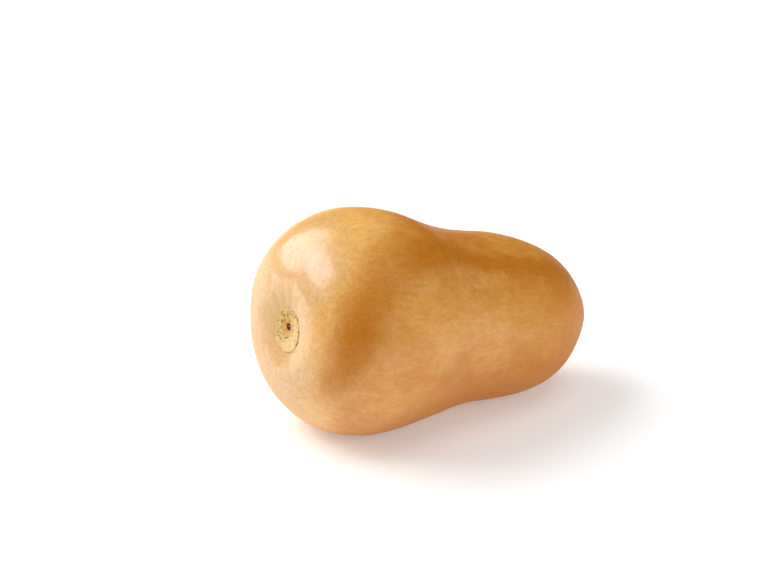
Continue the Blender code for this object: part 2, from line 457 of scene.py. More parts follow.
rough_place = np.stack([along, scar_y, scar_z], axis=-1)
close = (skin < SCAR_REACH).sum(axis=0)[0]
crumbs = np.zeros_like(radius)
crumbs[:close] = lumps(rough_place[:close], CRUMB_LUMPS)
crumbs *= cork

fold_reach = zone(skin, SCAR_RADIUS, SCAR_RADIUS + FOLD_RISE, *FOLD_FADE)
fold_side = FOLD_LEAST + (1 - FOLD_LEAST) * smooth_step(*FOLD_SIDE, towards(FOLD_HEADING))
fold_turn = FOLD_COUNT * angle + FOLD_STRAY * np.sin(FOLD_STRAY_COUNT * angle)
folds = np.sin(fold_turn) * fold_reach * fold_side

scar_height = SCAR_RAISE * cork + CRUMB_HEIGHT * crumbs - TEAR_DEPTH * torn
scar_height += FOLD_HEIGHT * folds - HEART_SINK * heart - PIT_DEPTH * pit + STYLE_HEIGHT * style_glint
print("scar relief:", round(float(scar_height.min()), 2), "to",
      round(float(scar_height.max()), 2), "mm")

# %% [markdown]
# Two more marks are carved: a patch of fine wrinkles above the scar, and one small nub
# low on the bulb. They and the dents are pushed in or out along the surface's own
# normals, which point straight away from the skin.

# %% Dents, wrinkles and a nub
DENT_LUMPS = ((0.20, 26.0, 1, 0.0), (0.17, 11.0, 1, 0.0), (0.09, 5.5, 1, 0.0))
WRINKLE_SKIN = 44.0
WRINKLE_HEADING = -21
WRINKLE_REACH = 8.0
WRINKLE_SPACING = 2.7
WRINKLE_SLANT = 0.5
WRINKLE_LUMPS = ((2.5, 4.0, 1, 43.0),)
WRINKLE_HEIGHT = 0.085
NUB_SKIN = 99.0
NUB_HEADING = -147
NUB_LENGTH = 1.5
NUB_WIDTH = 0.8
NUB_HEIGHT = 0.9


def wrinkle_height(place):
    """Slanted wrinkles in a round patch. The noise bends them."""
    side = radius * turned_by(WRINKLE_HEADING)
    off = np.hypot(skin - WRINKLE_SKIN, side) / WRINKLE_REACH
    turn = 2 * math.pi * (skin + WRINKLE_SLANT * side) / WRINKLE_SPACING
    turn += lumps(place, WRINKLE_LUMPS)
    return WRINKLE_HEIGHT * np.sin(turn) * bell(off)


def nub_height():
    """One small oval nub."""
    lengthways = (skin - NUB_SKIN) / NUB_LENGTH
    sideways = radius * turned_by(NUB_HEADING) / NUB_WIDTH
    return NUB_HEIGHT * bell(lengthways, sideways)


def normals_of(grid):
    """Outward normals of a grid of rings, from its neighbouring points."""
    lengthways = np.gradient(grid, axis=0)
    sideways = (np.roll(grid, -1, axis=1) - np.roll(grid, 1, axis=1)) / 2
    normals = np.cross(sideways, lengthways)
    return normals / np.linalg.norm(normals, axis=-1, keepdims=True)


# %% [markdown]
# Now the pieces of the formula come together. Points near the blossom end are drawn
# along with the scar, which grew a little below the axis and to one side. The scar is
# a little taller than it is wide. At the end the points are laid down, pressed flat
# where they meet the table, and stretched by less than a hair to fill exactly the box
# of the solid fruit.

# %% Put the skin together
SCAR_DROP = 3.4
SCAR_SIDE = -3.3
SCAR_SPREAD = 40.0
SCAR_OVAL = 0.06


def fill_box(points, box):
    """Stretches points to fill a box exactly."""
    low, high = np.array(box[0]), np.array(box[1])
    flat = points.reshape(-1, 3)
    lowest, highest = flat.min(axis=0), flat.max(axis=0)
    print("stretched by", np.round((high - low) / (highest - lowest), 4))
    return low + (points - lowest) * (high - low) / (highest - lowest)


round_scar = 1 - smooth_step(SCAR_RADIUS, SCAR_SPREAD, radius)
oval = at_scar(SCAR_OVAL * np.cos(2 * angle) * round_scar)
drawn = at_scar(np.clip(1 - (radius / SCAR_SPREAD) ** 2, 0.0, None) ** 2)
out = swollen * (1 + oval)
smooth_skin = np.stack(
    [
        along - at_scar(scar_height),
        out * np.sin(angle) * OVAL_WIDTH + SCAR_SIDE * drawn,
        out * np.cos(angle) - SCAR_DROP * drawn,
    ],
    axis=-1,
)
dents = lumps(smooth_skin, DENT_LUMPS) * (1 - cork)
dents += wrinkle_height(smooth_skin)
dents += nub_height()
own_skin = smooth_skin + dents[..., None] * normals_of(smooth_skin)
skin_points = lay_down(own_skin)
skin_points[..., 2] = np.maximum(skin_points[..., 2], 0.0)
skin_points = fill_box(skin_points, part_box("fruit"))

# %% [markdown]
# A grid of rings becomes a mesh of quads. The poles are closed with one point each.
# The masks ride along as attributes, one number for each point, so that a material can
# read them by name.

# %% Make a mesh from rings


def ring_mesh(name, grid, first, last):
    """A closed mesh from a grid of rings, with a point at either end."""
    rings, steps = grid.shape[:2]
    points = np.vstack([grid.reshape(-1, 3), first, last])
    index = np.arange(rings * steps).reshape(rings, steps)
    after = np.roll(index, -1, axis=1)
    quads = np.stack([index[:-1], index[1:], after[1:], after[:-1]], axis=-1).reshape(-1, 4)
    start = [(len(points) - 2, int(a), int(b)) for a, b in zip(index[0], after[0])]
    end = [(len(points) - 1, int(b), int(a)) for a, b in zip(index[-1], after[-1])]
    mesh = bpy.data.meshes.new(name)
    mesh.from_pydata(points.tolist(), [], quads.tolist() + start + end)
    mesh.shade_smooth()
    piece = bpy.data.objects.new(name, mesh)
    bpy.context.scene.collection.objects.link(piece)
    triangles = sum(len(p.vertices) - 2 for p in mesh.polygons)
    print(name, "has", len(mesh.polygons), "faces and", triangles, "triangles")
    return piece


def store(piece, name, values, first, last):
    """Stores one number, or one vector, for each point of a ring mesh."""
    vector = np.ndim(first) == 1
    kind = "FLOAT_VECTOR" if vector else "FLOAT"
    layer = piece.data.attributes.new(name, kind, "POINT")
    if vector:
        flat = np.vstack([values.reshape(-1, 3), first, last]).ravel()
        layer.data.foreach_set("vector", flat)
    else:
        flat = np.concatenate([values.ravel(), [first, last]])
        layer.data.foreach_set("value", flat)


def store_masks(piece, masks):
    """Stores masks. Each is a name, its values, and its value at either pole."""
    for name, values, first, last in masks:
        store(piece, name, values, first, last)
    print("masks on", piece.name + ":", [name for name, *rest in masks])


blossom_pole = skin_points[0].mean(axis=0)
stem_pole = skin_points[-1].mean(axis=0)
fruit = ring_mesh("fruit_skin", skin_points, blossom_pole, stem_pole)
scar_masks = (
    ("cork", cork, 1.0, 0.0),
    ("torn", torn, 0.0, 0.0),
    ("heart", heart, 1.0, 0.0),
    ("moss", moss, 0.4, 0.0),
    ("pit", pit, float(pit[0].mean()), 0.0),
    ("style_glint", style_glint, 0.0, 0.0),
    ("halo_shade", halo_shade, 0.0, 0.0),
)
store_masks(fruit, scar_masks)

# %% [markdown]
# Round the scar the skin is pale, then golden, and then tan. Both zones are partly the
# skin's own colour and partly painted light: they reach further along the top, as painted
# light on the top of the bulb, and are cut short on the side nearer the camera by a tongue
# of deeper tan, which is painted shade. Paler and deeper bands run along the neck: partly
# the skin's own banding, partly painted sheen on the side nearer the camera and painted
# shade along the top and underneath. Each zone is one more mask, with an edge that noise
# wanders and frays.

# %% Lay out the pale and golden zones and the bands
WANDER_LUMPS = ((9.0, 22.0, 2, 31.0),)
FRAY_LUMPS = ((1.6, 7.0, 3, 37.0),)
UPPER_HEADING = 15
# How much further the pale and golden colours reach along the top: painted light on the top of the
# bulb.
TOP_LIGHT_REACH = 19.0
# The tongue of deeper tan on the side nearer the camera is painted shade.
SHADE_TONGUE_HEADING = -87
SHADE_TONGUE_WIDTH = math.radians(60)
PALE_REACH = 52.0
PALE_CUT = 28.0
PALE_BLUR = 12.0
GOLD_REACH = 75.0
GOLD_CUT = 42.0
GOLD_BLUR = 18.0
BAND_COUNT = 3
BAND_HEADING = -67
BAND_STRAY = 0.05
BAND_MIDDLE = 0.6
# How far the top of the neck is pushed towards deep tan: painted shade.
BAND_TOP_SHADE = 0.6
BAND_SKIN = (70.0, 115.0)

wander = lumps(smooth_skin, WANDER_LUMPS)
fray = lumps(smooth_skin, FRAY_LUMPS)
upper_side = np.clip(np.cos(turned_by(UPPER_HEADING)), 0.0, 1.0)
shade_tongue = bell(turned_by(SHADE_TONGUE_HEADING) / SHADE_TONGUE_WIDTH)


def within(reach, cut, blur):
    """One round the scar, as far as a zone reaches."""
    edge = reach - cut * shade_tongue + TOP_LIGHT_REACH * upper_side
    return 1 - smooth_step(-blur, blur, skin - edge + wander + 2 * fray)


# The pale and golden zones are partly the skin's own colour and partly painted light.
pale_and_painted_light = within(PALE_REACH, PALE_CUT, PALE_BLUR)
gold_and_painted_light = within(GOLD_REACH, GOLD_CUT, GOLD_BLUR)
# The bands are partly the skin's own banding, partly painted sheen on the side nearer the camera
# and painted shade along the top and underneath.
band_sheen_and_shade = 0.5 + 0.5 * np.cos(BAND_COUNT * turned_by(BAND_HEADING) + BAND_STRAY * wander)
band_sheen_and_shade = np.clip(band_sheen_and_shade - BAND_TOP_SHADE * upper_side, 0.0, 1.0)
band_sheen_and_shade = BAND_MIDDLE + (band_sheen_and_shade - BAND_MIDDLE) * smooth_step(*BAND_SKIN, skin)
print("points in the pale zone:", int((pale_and_painted_light > 0.5).sum()))

# %% [markdown]
# The deepest colour lies in one long furrow. It is mostly painted shade, the dark band
# between the lit sides, with some deeper skin colour where it follows a valley of the neck.
# It starts below the scar on the side nearer the camera, curves up over the bulb, and runs
# on along the neck. The underside and the stem end are painted deep tan too, as shade.

# %% Lay out the furrow and the underside, where shade is painted
FURROW_SHADE_EDGE = (0.2, 1.3)
FURROW_SHADE_START = (28.0, 46.0)
UNDER_SIDE = (0.2, 0.8)
UNDER_SKIN = (78.0, 105.0)
STEM_END_SHADE = (145.0, 204.0)

# The furrow of painted shade: millimetres of skin from the middle of the scar, heading in
# degrees, half its width in millimetres, and how deep its colour is.
FURROW_SHADE_TRACK = (
    (32.0, -108, 10.0, 0.5),
    (42.0, -97, 30.0, 0.9),
    (52.0, -82, 36.0, 0.95),
    (64.0, -57, 27.0, 0.72),
    (76.0, -43, 21.0, 0.5),
    (92.0, -36, 15.0, 0.8),
    (112.0, -29, 10.0, 1.0),
    (155.0, -34, 6.5, 1.0),
    (180.0, -35, 6.0, 0.8),
    (206.0, -34, 6.5, 0.7),
)

track_skin, track_heading, track_width, track_strength = np.array(FURROW_SHADE_TRACK).T
furrow_shade_off = turned_by(np.interp(skin, track_skin, track_heading)) * radius
furrow_shade_size = np.interp(skin, track_skin, track_width)
furrow_shade = 1 - smooth_step(*FURROW_SHADE_EDGE, (np.abs(furrow_shade_off) + 2 * fray) / furrow_shade_size)
furrow_shade *= smooth_step(*FURROW_SHADE_START, skin + wander / 2)
furrow_shade *= np.interp(skin, track_skin, track_strength)
# Painted shade: deeper tan on the underside of the neck and towards the stem end.
under_shade = smooth_step(*UNDER_SIDE, -np.cos(angle)) * smooth_step(*UNDER_SKIN, skin)
stem_end_shade = smooth_step(*STEM_END_SHADE, skin)
print("points in the furrow:", int((furrow_shade > 0.5).sum()))

# %% [markdown]
# Four smaller differences finish the layout. The pale skin ripens from cream to buff
# away from the scar. A pinkish flush above the scar is a painted highlight under the
# window's reflection, and a fainter blush low on the bulb is painted light. A fair zone,
# of the colour of straw, along the top of the neck is a painted reflection.
#
# "grain" is a place on the skin that is squeezed lengthways: noise that reads it makes
# streaks that run from end to end, without a seam.

# %% Lay out the small zones and the grain
RIPE_SKIN = (27.0, 44.0)
FLUSH_SKIN = 38.0
FLUSH_HEADING = -14
FLUSH_LENGTH = 11.0
FLUSH_WIDTH = 14.0
BLUSH_SKIN = 72.0
BLUSH_HEADING = -126
BLUSH_LENGTH = 27.0
BLUSH_WIDTH = math.radians(46)
FAIR_SKIN = (150.0, 164.0, 180.0, 212.0)
FAIR_HEADING = (-29.0, -22.0, -5.0, 50.0)
GRAIN_STRETCH = 0.22

frayed_skin = skin + wander / 2 + fray
ripe = smooth_step(*RIPE_SKIN, frayed_skin)
# The flush is a painted highlight: pinker skin under the window's reflection above the scar.
flush_side = radius * turned_by(FLUSH_HEADING) / FLUSH_WIDTH
flush_highlight = bell((skin - FLUSH_SKIN + fray) / FLUSH_LENGTH, flush_side)
# The blush is painted light, low on the bulb on the side nearer the camera.
blush_light = bell((skin - BLUSH_SKIN + wander) / BLUSH_LENGTH)
blush_light *= bell(turned_by(BLUSH_HEADING) / BLUSH_WIDTH)
# The fair zone is a painted reflection along the top of the neck.
fair_heading = np.degrees(turned_by(0)) + 2 * fray
fair_reflection = zone(frayed_skin, *FAIR_SKIN) * zone(fair_heading, *FAIR_HEADING)
colour_masks = (
    ("pale_and_painted_light", pale_and_painted_light, 1.0, 0.0),
    ("gold_and_painted_light", gold_and_painted_light, 1.0, 0.0),
    ("band_sheen_and_shade", band_sheen_and_shade, BAND_MIDDLE, 0.5),
    ("ripe", ripe, 0.0, 1.0),
    ("flush_highlight", flush_highlight, 0.0, 0.0),
    ("blush_light", blush_light, 0.0, 0.0),
    ("fair_reflection", fair_reflection, 0.0, 0.0),
    ("furrow_shade", furrow_shade, 0.0, 0.0),
    ("under_shade", np.maximum(under_shade, stem_end_shade), 0.0, 1.0),
)
store_masks(fruit, colour_masks)
grain = np.stack([scar_y, scar_z, skin * GRAIN_STRETCH], axis=-1) * MM
store(fruit, "grain", grain, (0.0, 0.0, 0.0), (0.0, 0.0, SKIN_LENGTH * GRAIN_STRETCH * MM))
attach(fruit, "root")
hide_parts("fruit")

# %% [markdown]
# ## The stub of the stem
#
# The stem of a butternut is woody, with five strong angles and a weaker rib between
# each pair. Where it joins the fruit it swells to a knuckle. This one was snapped off
# low and dried, so its ribs are rounded, its creases are deep, and one side is a slant
# of torn fibres.
#
# It is one more turned shape. Points above the plane of the break are lowered onto it,
# and noise that is drawn out down the slant raises the fibres there.

# %% Shape the stub
STEM_GUIDE = (
    (-3.0, 11.0), (1.5, 12.6), (4.0, 14.2),
    (6.6, 15.0), (9.2, 13.8), (11.6, 11.0),
    (13.2, 7.0), (13.8, 3.5), (13.9, 0.0),
)
STEM_RINGS = 150
STEM_STEPS = 260
STEM_RIBS = 10
STEM_CREASE = 0.15
STEM_ANGLES = 0.05
STEM_UNEVEN = 0.14
STEM_PHASE = 1.0

stem_up, stem_out = drawn_curve(STEM_GUIDE, STEM_RINGS, from_pole=False)[:-1].T
stem_angle = np.arange(STEM_STEPS) * 2 * math.pi / STEM_STEPS
up, way = np.meshgrid(stem_up, stem_angle, indexing="ij")
wide = np.repeat(stem_out[:, None], STEM_STEPS, axis=1)
strayed = way + STEM_UNEVEN * np.sin(2 * way + STEM_PHASE)
rib = np.cos(STEM_RIBS * strayed / 2)
crease = (1 - np.abs(rib)) ** 2
stem_width = wide * (1 - STEM_CREASE * crease + STEM_ANGLES * rib)
stem_y = stem_width * np.sin(way)
stem_z = stem_width * np.cos(way)
print("stem:", STEM_RIBS, "ribs, at most", round(2 * float(stem_width.max()), 1), "mm wide")

# %% Break it off on a slant and roughen it
BARK_STRETCH = 0.5
BARK_LUMPS = ((0.22, 2.6, 2, 3.0), (0.10, 0.9, 1, 5.0))
BARK_START = (-1.0, 2.0)
FIBRE_STRETCH = 0.3
FIBRE_LUMPS = ((1.0, 0.9, 2, 11.0), (0.7, 2.4, 1, 17.0))
BREAK_HEIGHT = 10.6
BREAK_SLOPE = math.radians(34)
BREAK_ROUGH = 0.55
BREAK_EDGE = 0.25
PITH_SIDE = 2.0
PITH_RADIUS = 3.2
PITH_DEPTH = 0.9

bark = lumps(np.stack([up * BARK_STRETCH, stem_y, stem_z], axis=-1), BARK_LUMPS)
fibre_place = np.stack([np.zeros_like(up), stem_y * FIBRE_STRETCH, stem_z], axis=-1)
fibres = lumps(fibre_place, FIBRE_LUMPS)
break_plane = BREAK_HEIGHT + stem_y * math.tan(BREAK_SLOPE)
pith = bell(np.hypot(stem_y + PITH_SIDE, stem_z) / PITH_RADIUS)
break_face = break_plane + BREAK_ROUGH * fibres - PITH_DEPTH * pith
broken = smooth_step(-BREAK_EDGE, BREAK_EDGE, up - break_face)
stem_height = np.minimum(up, break_face)
stem_width = stem_width + bark * (1 - broken) * smooth_step(*BARK_START, up)

stem_foot = SKIN_GUIDE[-1][0]
stem_grid = np.stack(
    [stem_foot + stem_height, stem_width * np.sin(way), stem_width * np.cos(way)],
    axis=-1,
)
base = np.array([[stem_foot + STEM_GUIDE[0][0], 0.0, 0.0]])
top = stem_grid[-1].mean(axis=0, keepdims=True)
stem_low, stem_high = (np.array(corner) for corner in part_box("stem"))
stem_points, stem_base, stem_top = (
    np.clip(lay_down(points), stem_low, stem_high) for points in (stem_grid, base, top)
)
stem = ring_mesh("stem_stub", stem_points, stem_base, stem_top)
stem_masks = (
    ("crease", crease, 0.0, 0.0),
    ("broken", broken, 0.0, 1.0),
    ("stem_height", up / STEM_GUIDE[-1][0], 0.0, 1.0),
)
store_masks(stem, stem_masks)
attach(stem, "root")
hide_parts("stem")

# %% [markdown]
# ## Node groups: effects that more than one finish uses
#
# A node group is a small machine with named inputs and outputs. Both finishes need
# blotches of a second colour and scattered specks, so each is built once here and
# placed in the materials with its own values. The groups put out masks and heights
# only; the shader itself stays in the material.

# %% Helpers for node trees


def feed(tree, socket, value):
    """Links a socket to another node's output, or sets it to a value."""
    if isinstance(value, bpy.types.NodeSocket):
        tree.links.new(value, socket)
    else:
        socket.default_value = value


def feed_all(tree, made, values):
    """Feeds several inputs of a node by name."""
    for name, value in values.items():
        feed(tree, made.inputs[name], value)


def new_group(name, inputs, outputs):
    """An empty group, and the sockets that it is given and that it makes."""
    group = bpy.data.node_groups.new(name, "ShaderNodeTree")
    for side, sockets in (("INPUT", inputs), ("OUTPUT", outputs)):
        for label, kind in sockets.items():
            group.interface.new_socket(label, in_out=side, socket_type="NodeSocket" + kind)
    given = group.nodes.new("NodeGroupInput").outputs
    made = group.nodes.new("NodeGroupOutput").inputs
    return group, given, made


def node(tree, kind, inputs=None, **settings):
    """A node with its settings, and its inputs linked or set."""
    made = tree.nodes.new("ShaderNode" + kind)
    for name, value in settings.items():
        setattr(made, name, value)
    feed_all(tree, made, inputs or {})
    return made


def mixed(tree, share, first, second, blend="MIX"):
    """The colour between two others."""
    mix = node(tree, "Mix", data_type="RGBA", blend_type=blend)
    for name, value in (("Factor_Float", share), ("A_Color", first), ("B_Color", second)):
        feed(tree, next(s for s in mix.inputs if s.identifier == name), value)
    return next(s for s in mix.outputs if s.identifier == "Result_Color")


def maths(tree, operation, first, second=0.0, third=0.0):
    """A number worked out from up to three others."""
    made = node(tree, "Math", operation=operation)
    for place, value in enumerate((first, second, third)):
        feed(tree, made.inputs[place], value)
    return made.outputs[0]


def product(tree, first, second):
    """Two numbers multiplied."""
    return maths(tree, "MULTIPLY", first, second)


def between(tree, value, low, high, low_out=0.0, high_out=1.0):
    """Maps a value from one range to another, smoothly at both ends."""
    limits = {"From Min": low, "From Max": high, "To Min": low_out, "To Max": high_out}
    made = node(tree, "MapRange", {"Value": value, **limits}, interpolation_type="SMOOTHSTEP")
    return made.outputs[0]


# %% Build the blotches and specks groups
SPECK_LEAST = 0.4
SPECK_CORE = 0.35


def blotches_group():
    """Soft-edged blotches. Size is in millimetres."""
    group, given, made = new_group(
        "blotches",
        {"Place": "Vector", "Size": "Float", "Detail": "Float", "From": "Float", "To": "Float"},
        {"Mask": "Float", "Height": "Float"},
    )
    scale = maths(group, "DIVIDE", 1 / MM, given["Size"])
    lumpy = node(group, "TexNoise", {
        "Vector": given["Place"], "Scale": scale, "Detail": given["Detail"], "Roughness": 0.55,
    })
    mask = between(group, lumpy.outputs[0], given["From"], given["To"])
    group.links.new(mask, made["Mask"])
    group.links.new(lumpy.outputs[0], made["Height"])
    return group


def specks_group():
    """Scattered round specks. Spacing and Size are in millimetres, Share is how many show."""
    group, given, made = new_group(
        "specks",
        {"Place": "Vector", "Spacing": "Float", "Size": "Float", "Share": "Float"},
        {"Mask": "Float"},
    )
    scale = maths(group, "DIVIDE", 1 / MM, given["Spacing"])
    cells = node(group, "TexVoronoi", {"Vector": given["Place"], "Scale": scale})
    pick = node(group, "SeparateColor", {"Color": cells.outputs["Color"]})
    shown = maths(group, "LESS_THAN", pick.outputs[0], given["Share"])
    reach = maths(group, "DIVIDE", given["Size"], given["Spacing"])
    varied = product(group, reach, maths(group, "ADD", SPECK_LEAST, pick.outputs[1]))
    edge = maths(group, "DIVIDE", cells.outputs["Distance"], varied)
    dot = between(group, edge, SPECK_CORE, 1.0, 1.0, 0.0)
    group.links.new(product(group, dot, shown), made["Mask"])
    return group


BLOTCHES = blotches_group()
SPECKS = specks_group()
print("groups:", BLOTCHES.name, SPECKS.name)

# %% [markdown]
# ## The skin's finish
#
# Butternut skin is tan, smooth and waxy: a matt body colour under a thin satin gloss.
# The colours are laid one over another, zone by zone, and each mask says where its
# colour shows.

# %% Choose the colours and build helpers for materials
SKIN_TAN = (0.645, 0.302, 0.062, 1.0)
# The deep tan carries painted shade: low in the bands, underneath and at the stem end.
SKIN_DEEP = (0.530, 0.185, 0.016, 1.0)
# Painted shade: the colour of the furrow.
SKIN_FURROW_SHADE = (0.475, 0.158, 0.008, 1.0)
# The golden colour is partly painted light on the top of the bulb.
SKIN_GOLD_LIT = (0.800, 0.455, 0.124, 1.0)
# The pink is partly painted sheen on the side of the neck nearer the camera.
SKIN_PINK_SHEEN = (0.720, 0.350, 0.130, 1.0)
# The cream is partly painted light where the window falls on the blossom end.
SKIN_CREAM = (0.640, 0.380, 0.148, 1.0)
SKIN_BUFF = (0.640, 0.368, 0.122, 1.0)
# Painted highlight: the colour of the flush.
SKIN_FLUSH_HIGHLIGHT = (0.690, 0.400, 0.190, 1.0)
# Painted light: the colour of the blush.
SKIN_BLUSH_LIGHT = (0.730, 0.375, 0.150, 1.0)
# Painted reflection: the colour of the fair zone.
SKIN_STRAW_REFLECTION = (0.620, 0.300, 0.052, 1.0)
# Painted shade: the colour of the halo.
HALO_SHADE_OCHRE = (0.54, 0.305, 0.078, 1.0)
GOLD_SHARE = 0.85
BLUSH_LIGHT_SHARE = 0.2
FLUSH_HIGHLIGHT_SHARE = 0.75
UNDER_SHADE_SHARE = 0.7
FAIR_REFLECTION_SHARE = 0.5
HALO_SHADE_SHARE = 0.88
DRIFT_SHARE = 0.4

# A range maps the values between its first two numbers to its last two, or to nought
# and one where it has only two.
TONE_RANGE = (0.0, 1.2)
PINK_SHEEN_RANGE = (0.5, 1.4, 0.1, 0.55)


def use(tree, group, **inputs):
    """Places a node group in a material with its own values, for its outputs."""
    placed = tree.nodes.new("ShaderNodeGroup")
    placed.node_tree = group
    feed_all(tree, placed, inputs)
    return placed.outputs


def new_material(name):
    """A material with its node tree and its shader."""
    material = bpy.data.materials.new(name)
    material.use_nodes = True
    tree = material.node_tree
    return material, tree, tree.nodes["Principled BSDF"]


def mask_from(tree, name):
    """A mask that is stored on the mesh."""
    return node(tree, "Attribute", attribute_name=name).outputs["Fac"]


def tinted(tree, colour, mask, share, tint):
    """A colour with a tint laid over it where a stored mask says so."""
    return mixed(tree, product(tree, mask_from(tree, mask), share), colour, tint)


def zone_colour(tree, drift, patchy):
    """The colour of the skin, zone upon zone, without its fine marks."""
    band_sheen_and_shade = mask_from(tree, "band_sheen_and_shade")
    # The bands carry painted sheen and painted shade.
    sheen_and_shade_bands = maths(tree, "MULTIPLY_ADD", drift["Mask"], DRIFT_SHARE, band_sheen_and_shade)
    colour = mixed(tree, between(tree, sheen_and_shade_bands, *TONE_RANGE), SKIN_DEEP, SKIN_TAN)
    pink_sheen = product(tree, patchy["Mask"], between(tree, sheen_and_shade_bands, *PINK_SHEEN_RANGE))
    colour = mixed(tree, pink_sheen, colour, SKIN_PINK_SHEEN)
    # The golden zone, partly painted light.
    colour = tinted(tree, colour, "gold_and_painted_light", GOLD_SHARE, SKIN_GOLD_LIT)
    # Painted light low on the bulb.
    colour = tinted(tree, colour, "blush_light", BLUSH_LIGHT_SHARE, SKIN_BLUSH_LIGHT)
    palest = mixed(tree, mask_from(tree, "ripe"), SKIN_CREAM, SKIN_BUFF)
    # The pale zone, partly painted light.
    colour = tinted(tree, colour, "pale_and_painted_light", 1.0, palest)
    # Painted highlight above the scar.
    colour = tinted(tree, colour, "flush_highlight", FLUSH_HIGHLIGHT_SHARE, SKIN_FLUSH_HIGHLIGHT)
    # Painted shade underneath and at the stem end.
    colour = tinted(tree, colour, "under_shade", UNDER_SHADE_SHARE, SKIN_DEEP)
    # Painted reflection along the top of the neck.
    colour = tinted(tree, colour, "fair_reflection", FAIR_REFLECTION_SHARE, SKIN_STRAW_REFLECTION)
    # Painted shade in the furrow.
    return tinted(tree, colour, "furrow_shade", 1.0, SKIN_FURROW_SHADE)


# %% [markdown]
# The colour is never even. Soft mottles and a fine grain lie all over it, streaks run
# from end to end, and painted glints, as pale dots, and a few brown specks are scattered
# on it. Where the skin is darker it is also a deeper orange, so blue falls most and red
# least.

# %% Mottle and speckle the skin
# Painted glints: the colour of the pale dots.
GLINT_STRAW = (0.80, 0.56, 0.26, 1.0)
SPECK_BROWN = (0.25, 0.11, 0.02, 1.0)
NOISE_RANGE = (0.3, 0.7)
MOTTLE_SHARE = 0.11
STREAK_SHARE = 0.13
GRAIN_SHARE = 0.12
RED_POWER = 0.6
BLUE_POWER = 2.5
GLINT_RANGE = (0.5, 0.75, 0.0, 0.3)
SPECK_SHARE = 0.7


def mottled(tree, colour, place, small, streak):
    """Brightens and darkens a colour in mottles, streaks and a fine grain."""
    fine = node(tree, "TexNoise", {
        "Vector": place, "Scale": 800.0, "Detail": 1.5, "Roughness": 0.6,
    })
    bright = 1.0
    for height, share in (
        (small["Height"], MOTTLE_SHARE),
        (streak["Height"], STREAK_SHARE),
        (fine.outputs[0], GRAIN_SHARE),
    ):
        swing = between(tree, height, *NOISE_RANGE, -0.5, 0.5)
        bright = maths(tree, "MULTIPLY_ADD", swing, share, bright)
    shade = node(tree, "CombineColor", {
        "Red": maths(tree, "POWER", bright, RED_POWER),
        "Green": bright,
        "Blue": maths(tree, "POWER", bright, BLUE_POWER),
    })
    return mixed(tree, 1.0, colour, shade.outputs[0], "MULTIPLY")


def specked(tree, colour, place, patchy):
    """Scatters painted glints, as pale dots, in patches, and brown specks everywhere."""
    glints = use(tree, SPECKS, Place=place, Spacing=3.1, Size=0.8, Share=0.5)
    in_patches = between(tree, patchy["Height"], *GLINT_RANGE)
    colour = mixed(tree, product(tree, glints["Mask"], in_patches), colour, GLINT_STRAW)
    specks = use(tree, SPECKS, Place=place, Spacing=13.0, Size=0.65, Share=0.35)
    return mixed(tree, product(tree, specks["Mask"], SPECK_SHARE), colour, SPECK_BROWN)


# %% [markdown]
# The cork is cream, with olive on one side, an ochre and orange heart, and dark spots
# that crowd the olive side. The cracks and the pit are brown.

# %% Colour the scar
CORK_CREAM = (0.76, 0.56, 0.27, 1.0)
CORK_OLIVE = (0.54, 0.375, 0.118, 1.0)
CORK_SPOT = (0.34, 0.165, 0.025, 1.0)
HEART_OCHRE = (0.60, 0.34, 0.11, 1.0)
HEART_ORANGE = (0.62, 0.27, 0.045, 1.0)
CRACK_BROWN = (0.31, 0.120, 0.012, 1.0)
PIT_BROWN = (0.20, 0.060, 0.006, 1.0)
OLIVE_RANGE = (0.3, 0.65, 0.4, 1.0)
HEART_RANGE = (0.3, 0.6, 0.75, 0.35)
SPOT_RANGE = (0.1, 0.9, 0.4, 0.95)
CRACK_RANGE = (0.15, 0.7)
PIT_RANGE = (0.03, 0.4)


def scar_colour(tree, colour, place):
    """Lays the cork over the colour of the skin."""
    stipple = use(tree, BLOTCHES, Place=place, Size=1.3, Detail=1.5, From=0.52, To=0.62)
    crumb = use(tree, BLOTCHES, Place=place, Size=3.1, Detail=2.0, From=0.42, To=0.60)
    moss_mask = mask_from(tree, "moss")
    olive = product(tree, moss_mask, between(tree, crumb["Height"], *OLIVE_RANGE))
    plate = mixed(tree, olive, CORK_CREAM, CORK_OLIVE)
    in_heart = between(tree, stipple["Height"], *HEART_RANGE)
    in_heart = product(tree, mask_from(tree, "heart"), in_heart)
    heart_colour = mixed(tree, crumb["Mask"], HEART_OCHRE, HEART_ORANGE)
    plate = mixed(tree, in_heart, plate, heart_colour)
    spotty = product(tree, stipple["Mask"], between(tree, moss_mask, *SPOT_RANGE))
    plate = mixed(tree, spotty, plate, CORK_SPOT)
    colour = mixed(tree, mask_from(tree, "cork"), colour, plate)
    colour = mixed(tree, between(tree, mask_from(tree, "torn"), *CRACK_RANGE), colour, CRACK_BROWN)
    colour = mixed(tree, between(tree, mask_from(tree, "pit"), *PIT_RANGE), colour, PIT_BROWN)
    # The nub of style is painted cream, as a glint.
    return mixed(tree, mask_from(tree, "style_glint"), colour, CORK_CREAM)


# %% [markdown]
# The gloss is a coat of wax over the body colour. It is thickest on the pale and golden
# skin, thinner in the furrow and underneath, and gone from the cork. Bumps too fine for
# the mesh roughen the skin: pebbles in patches, a faint orange peel, and the streaks.

# %% Gloss and fine relief
SATIN_RANGE = (*NOISE_RANGE, 0.48, 0.58)
CORK_ROUGHNESS = 0.85
WAX_RANGE = (*NOISE_RANGE, 0.8, 1.0)
EDGE_ON_RANGE = (0.45, 0.95, 1.0, 0.3)
PEBBLE_RANGE = (0.4, 0.62, -0.015, -0.11)
PEEL_HEIGHT = 0.07
STREAK_HEIGHT = 0.04

